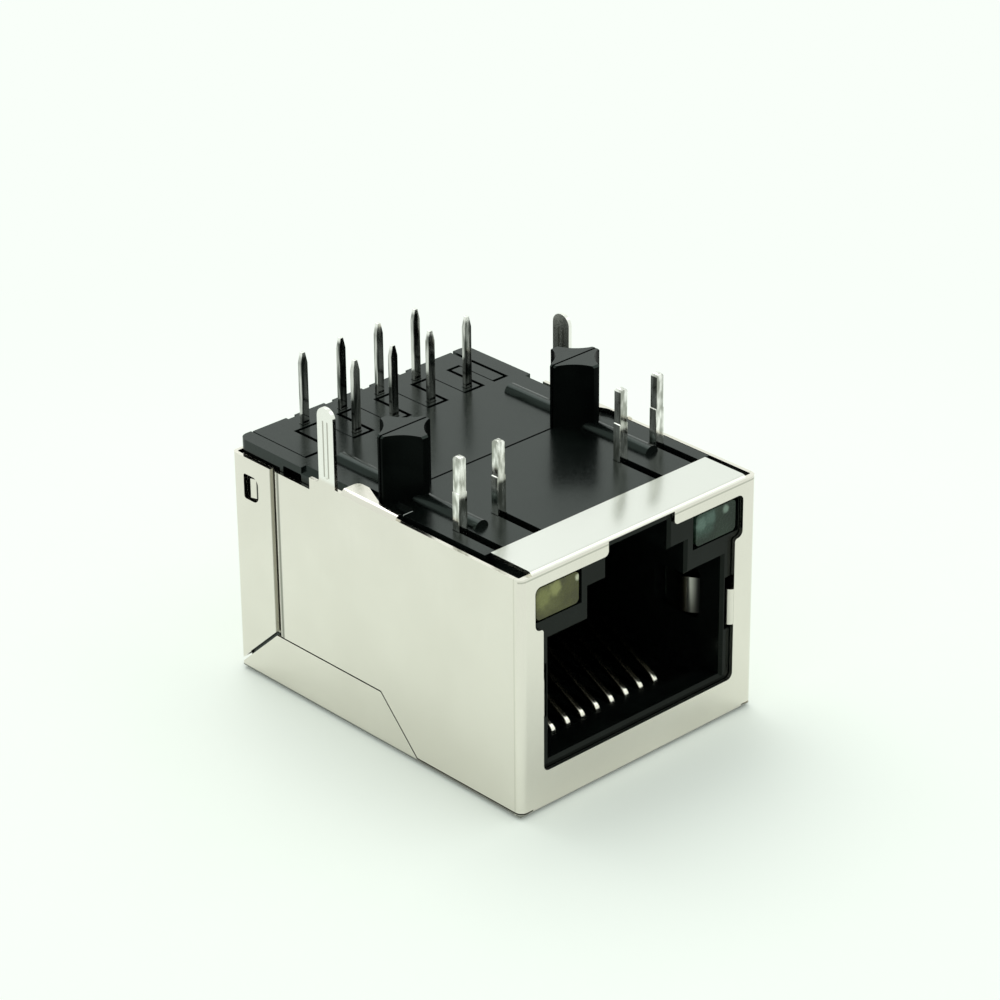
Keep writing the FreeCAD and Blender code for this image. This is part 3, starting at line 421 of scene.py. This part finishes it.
# bare is the arc left open at the top, in degrees; gap is the room between wire and ring
coils = {"transformer": {"bore": 1.8, "wire": 0.27, "gap": 0.015, "turns": 14, "bare": 54.0},
         "choke": {"bore": 1.4, "wire": 0.27, "gap": 0.015, "turns": 10, "bare": 54.0}}


def woundWire(kind, side, coil, steps=28, sides=8):
    # the wire goes round the ring's section once a turn while it moves round the ring's middle:
    # P = middle + (radius + u) * ring direction + v * axis, with (u, v) on the grown rectangle
    low, high = (np.array(corner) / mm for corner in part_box(kind + "_core_" + side))
    middle = (low + high) / 2
    outer, deep = (high[0] - low[0]) / 2, (high[1] - low[1]) / 2
    wide = (outer - coil["bore"] / 2) / 2
    section = np.tile(grownRectangle(wide, deep, coil["wire"] / 2 + coil["gap"], steps), (coil["turns"], 1))
    bare = np.radians(coil["bare"]) / 2
    angle = np.linspace(np.pi / 2 + bare, 2.5 * np.pi - bare, len(section))
    ring = np.stack((np.cos(angle), 0 * angle, np.sin(angle)), -1)
    axis = np.array((0.0, 1.0, 0.0))
    offset = section[:, :1] * ring + section[:, 1:] * axis
    path = middle + (outer - wide) * ring + offset
    tangent = np.gradient(path, axis=0)
    tangent /= np.linalg.norm(tangent, axis=1, keepdims=True)
    normal = offset - (offset * tangent).sum(1, keepdims=True) * tangent
    normal /= np.linalg.norm(normal, axis=1, keepdims=True)
    across = np.cross(tangent, normal)
    beta = np.arange(sides) * 2 * np.pi / sides
    points = path[:, None, :] + coil["wire"] / 2 * (np.cos(beta)[:, None] * normal[:, None, :]
                                                    + np.sin(beta)[:, None] * across[:, None, :])
    faces = tubeFaces(len(path), sides)
    piece = newPiece(kind + "Wire_" + side, points.reshape(-1, 3), faces, ["enamelled_wire"])
    piece.data.shade_smooth()
    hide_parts(kind + "_winding_" + side)


# cap is the length of a tinned end, inset how much smaller the ceramic is, round the edges' radius
chips = {"cap": 0.3, "inset": 0.02, "round": 0.05, "sides": 24}


def smallChip(nodeName):
    # rounded rectangle carried along X: full size over the tinned ends, a little smaller between them
    low, high = (np.array(corner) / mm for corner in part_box(nodeName))
    middle, half = (low + high) / 2, (high - low) / 2
    reach = half[0] - chips["cap"]
    x = np.array((-half[0], -reach, -reach, reach, reach, half[0]))
    shrink = np.array((0, 0, 1, 1, 0, 0)) * chips["inset"]
    sides = chips["sides"]
    outline = grownRectangle(half[1] - chips["round"], half[2] - chips["round"], chips["round"], sides)
    scale = 1 - shrink[:, None, None] / half[1:]
    points = np.empty((len(x), sides, 3))
    points[..., 0] = middle[0] + x[:, None]
    points[..., 1:] = middle[1:] + outline * scale
    faces = tubeFaces(len(x), sides)
    bands = np.repeat((1, 1, 0, 1, 1), sides).tolist() + [1, 1]  # ceramic in the middle, tin at the ends
    piece = newPiece(nodeName + "_capped", points.reshape(-1, 3), faces,
                     ["chip_ceramic", "tinned_lead"], bands)
    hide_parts(nodeName)


for side in ("left", "right"):
    for kind, coil in coils.items():
        woundWire(kind, side, coil)
for name in sorted(nodes):
    if name.startswith("resistor") or name == "capacitor":
        smallChip(name)
print("wires wound, chips capped")


# floor and light, in metres: the floor reaches "half" to each side at height "under", glows by "lift" at
# the jack and turns white over the distances in "fade"; "world" is the room's strength for rays that
# only light the scene

room = {"floor": (0.885, 0.935, 0.885), "white": (0.947, 1.0, 0.947), "lift": 0.1, "fade": (0.014, 0.06),
        "world": 0.84, "half": 1.5, "under": -0.1 * mm}


def eyeRays(tree):
    # 1 for rays that show the scene: camera, glossy and transmission
    path = tree.nodes.new("ShaderNodeLightPath")
    first = mathNode(tree, "MAXIMUM", path.outputs["Is Camera Ray"], path.outputs["Is Glossy Ray"])
    return mathNode(tree, "MAXIMUM", first, path.outputs["Is Transmission Ray"])


world = bpy.data.worlds.new("room")
bpy.context.scene.world = world
world.use_nodes = True
tree = world.node_tree
sky = tree.nodes["Background"]
sky.inputs["Color"].default_value = (*room["white"], 1.0)
strength = mathNode(tree, "MULTIPLY", eyeRays(tree), 1.0 - room["world"])
feed(tree, sky.inputs["Strength"], mathNode(tree, "ADD", strength, room["world"]))

half = room["half"]
mesh = bpy.data.meshes.new("floor")
corners = [(x * half, y * half, room["under"]) for x, y in ((-1, -1), (1, -1), (1, 1), (-1, 1))]
mesh.from_pydata(corners, [], [(0, 1, 2, 3)])
floor = bpy.data.objects.new("floor", mesh)
bpy.context.scene.collection.objects.link(floor)
paper = makeFinish("paper", {"dark": room["floor"], "light": tuple(c * 1.01 for c in room["floor"]),
                             "cloud": 40, "grain": 3000, "rough": (0.8, 0.95)})
tree = paper.node_tree
glow = tree.nodes.new("ShaderNodeEmission")
glow.inputs["Color"].default_value = (*room["white"], 1.0)
both = tree.nodes.new("ShaderNodeMixShader")
away = vectorNode(tree, "LENGTH", tree.nodes.new("ShaderNodeTexCoord").outputs["Object"]).outputs["Value"]
lift = rampBetween(tree, away, *room["fade"], room["lift"], 1.0)
feed(tree, both.inputs["Fac"], mathNode(tree, "MULTIPLY", eyeRays(tree), lift))
feed(tree, both.inputs[1], tree.nodes["Principled BSDF"].outputs["BSDF"])
feed(tree, both.inputs[2], glow.outputs["Emission"])
feed(tree, tree.nodes["Material Output"].inputs["Surface"], both.outputs["Shader"])
mesh.materials.append(paper)

lamps = {"key": {"at": (0.08, 0.27, 0.46), "size": 0.40, "power": 0.88},
         "back": {"at": (0.33, 0.36, 0.25), "size": 0.45, "power": 0.07},
         "side": {"at": (0.20, -0.22, 0.46), "size": 0.4, "power": 0.25}}
for name, lamp in lamps.items():
    data = bpy.data.lights.new(name, "AREA")
    data.size = lamp["size"]
    data.energy = lamp["power"]
    light = bpy.data.objects.new(name, data)
    light.location = lamp["at"]
    light.rotation_euler = (-Vector(lamp["at"])).to_track_quat("-Z", "Y").to_euler()
    bpy.context.scene.collection.objects.link(light)


# camera: azimuth, elevation and roll in degrees, lengths in millimetres

shot = {"azimuth": -42.925, "elevation": 27.086, "roll": -0.534, "distance": 193.506,
        "target": (6.472, 6.373, 6.0), "lens": 131.307}
a, e, r = (math.radians(shot[key]) for key in ("azimuth", "elevation", "roll"))
backward = Vector((math.sin(a) * math.cos(e), -math.cos(a) * math.cos(e), math.sin(e)))
right = Vector((0, 0, 1)).cross(backward).normalized()
up = backward.cross(right)
sideways = math.cos(r) * right + math.sin(r) * up
upright = math.cos(r) * up - math.sin(r) * right
data = bpy.data.cameras.new("camera")
data.lens = shot["lens"]
data.sensor_width = 36.0
data.clip_start = 0.01
data.clip_end = 10.0
camera = bpy.data.objects.new("camera", data)
turned = Matrix((sideways, upright, backward)).transposed().to_4x4()
stand = Vector(shot["target"]) * mm + backward * shot["distance"] * mm
camera.matrix_world = Matrix.Translation(stand) @ turned
bpy.context.scene.collection.objects.link(camera)
bpy.context.scene.camera = camera
bpy.context.scene.view_settings.view_transform = "Standard"

print("scene ready")
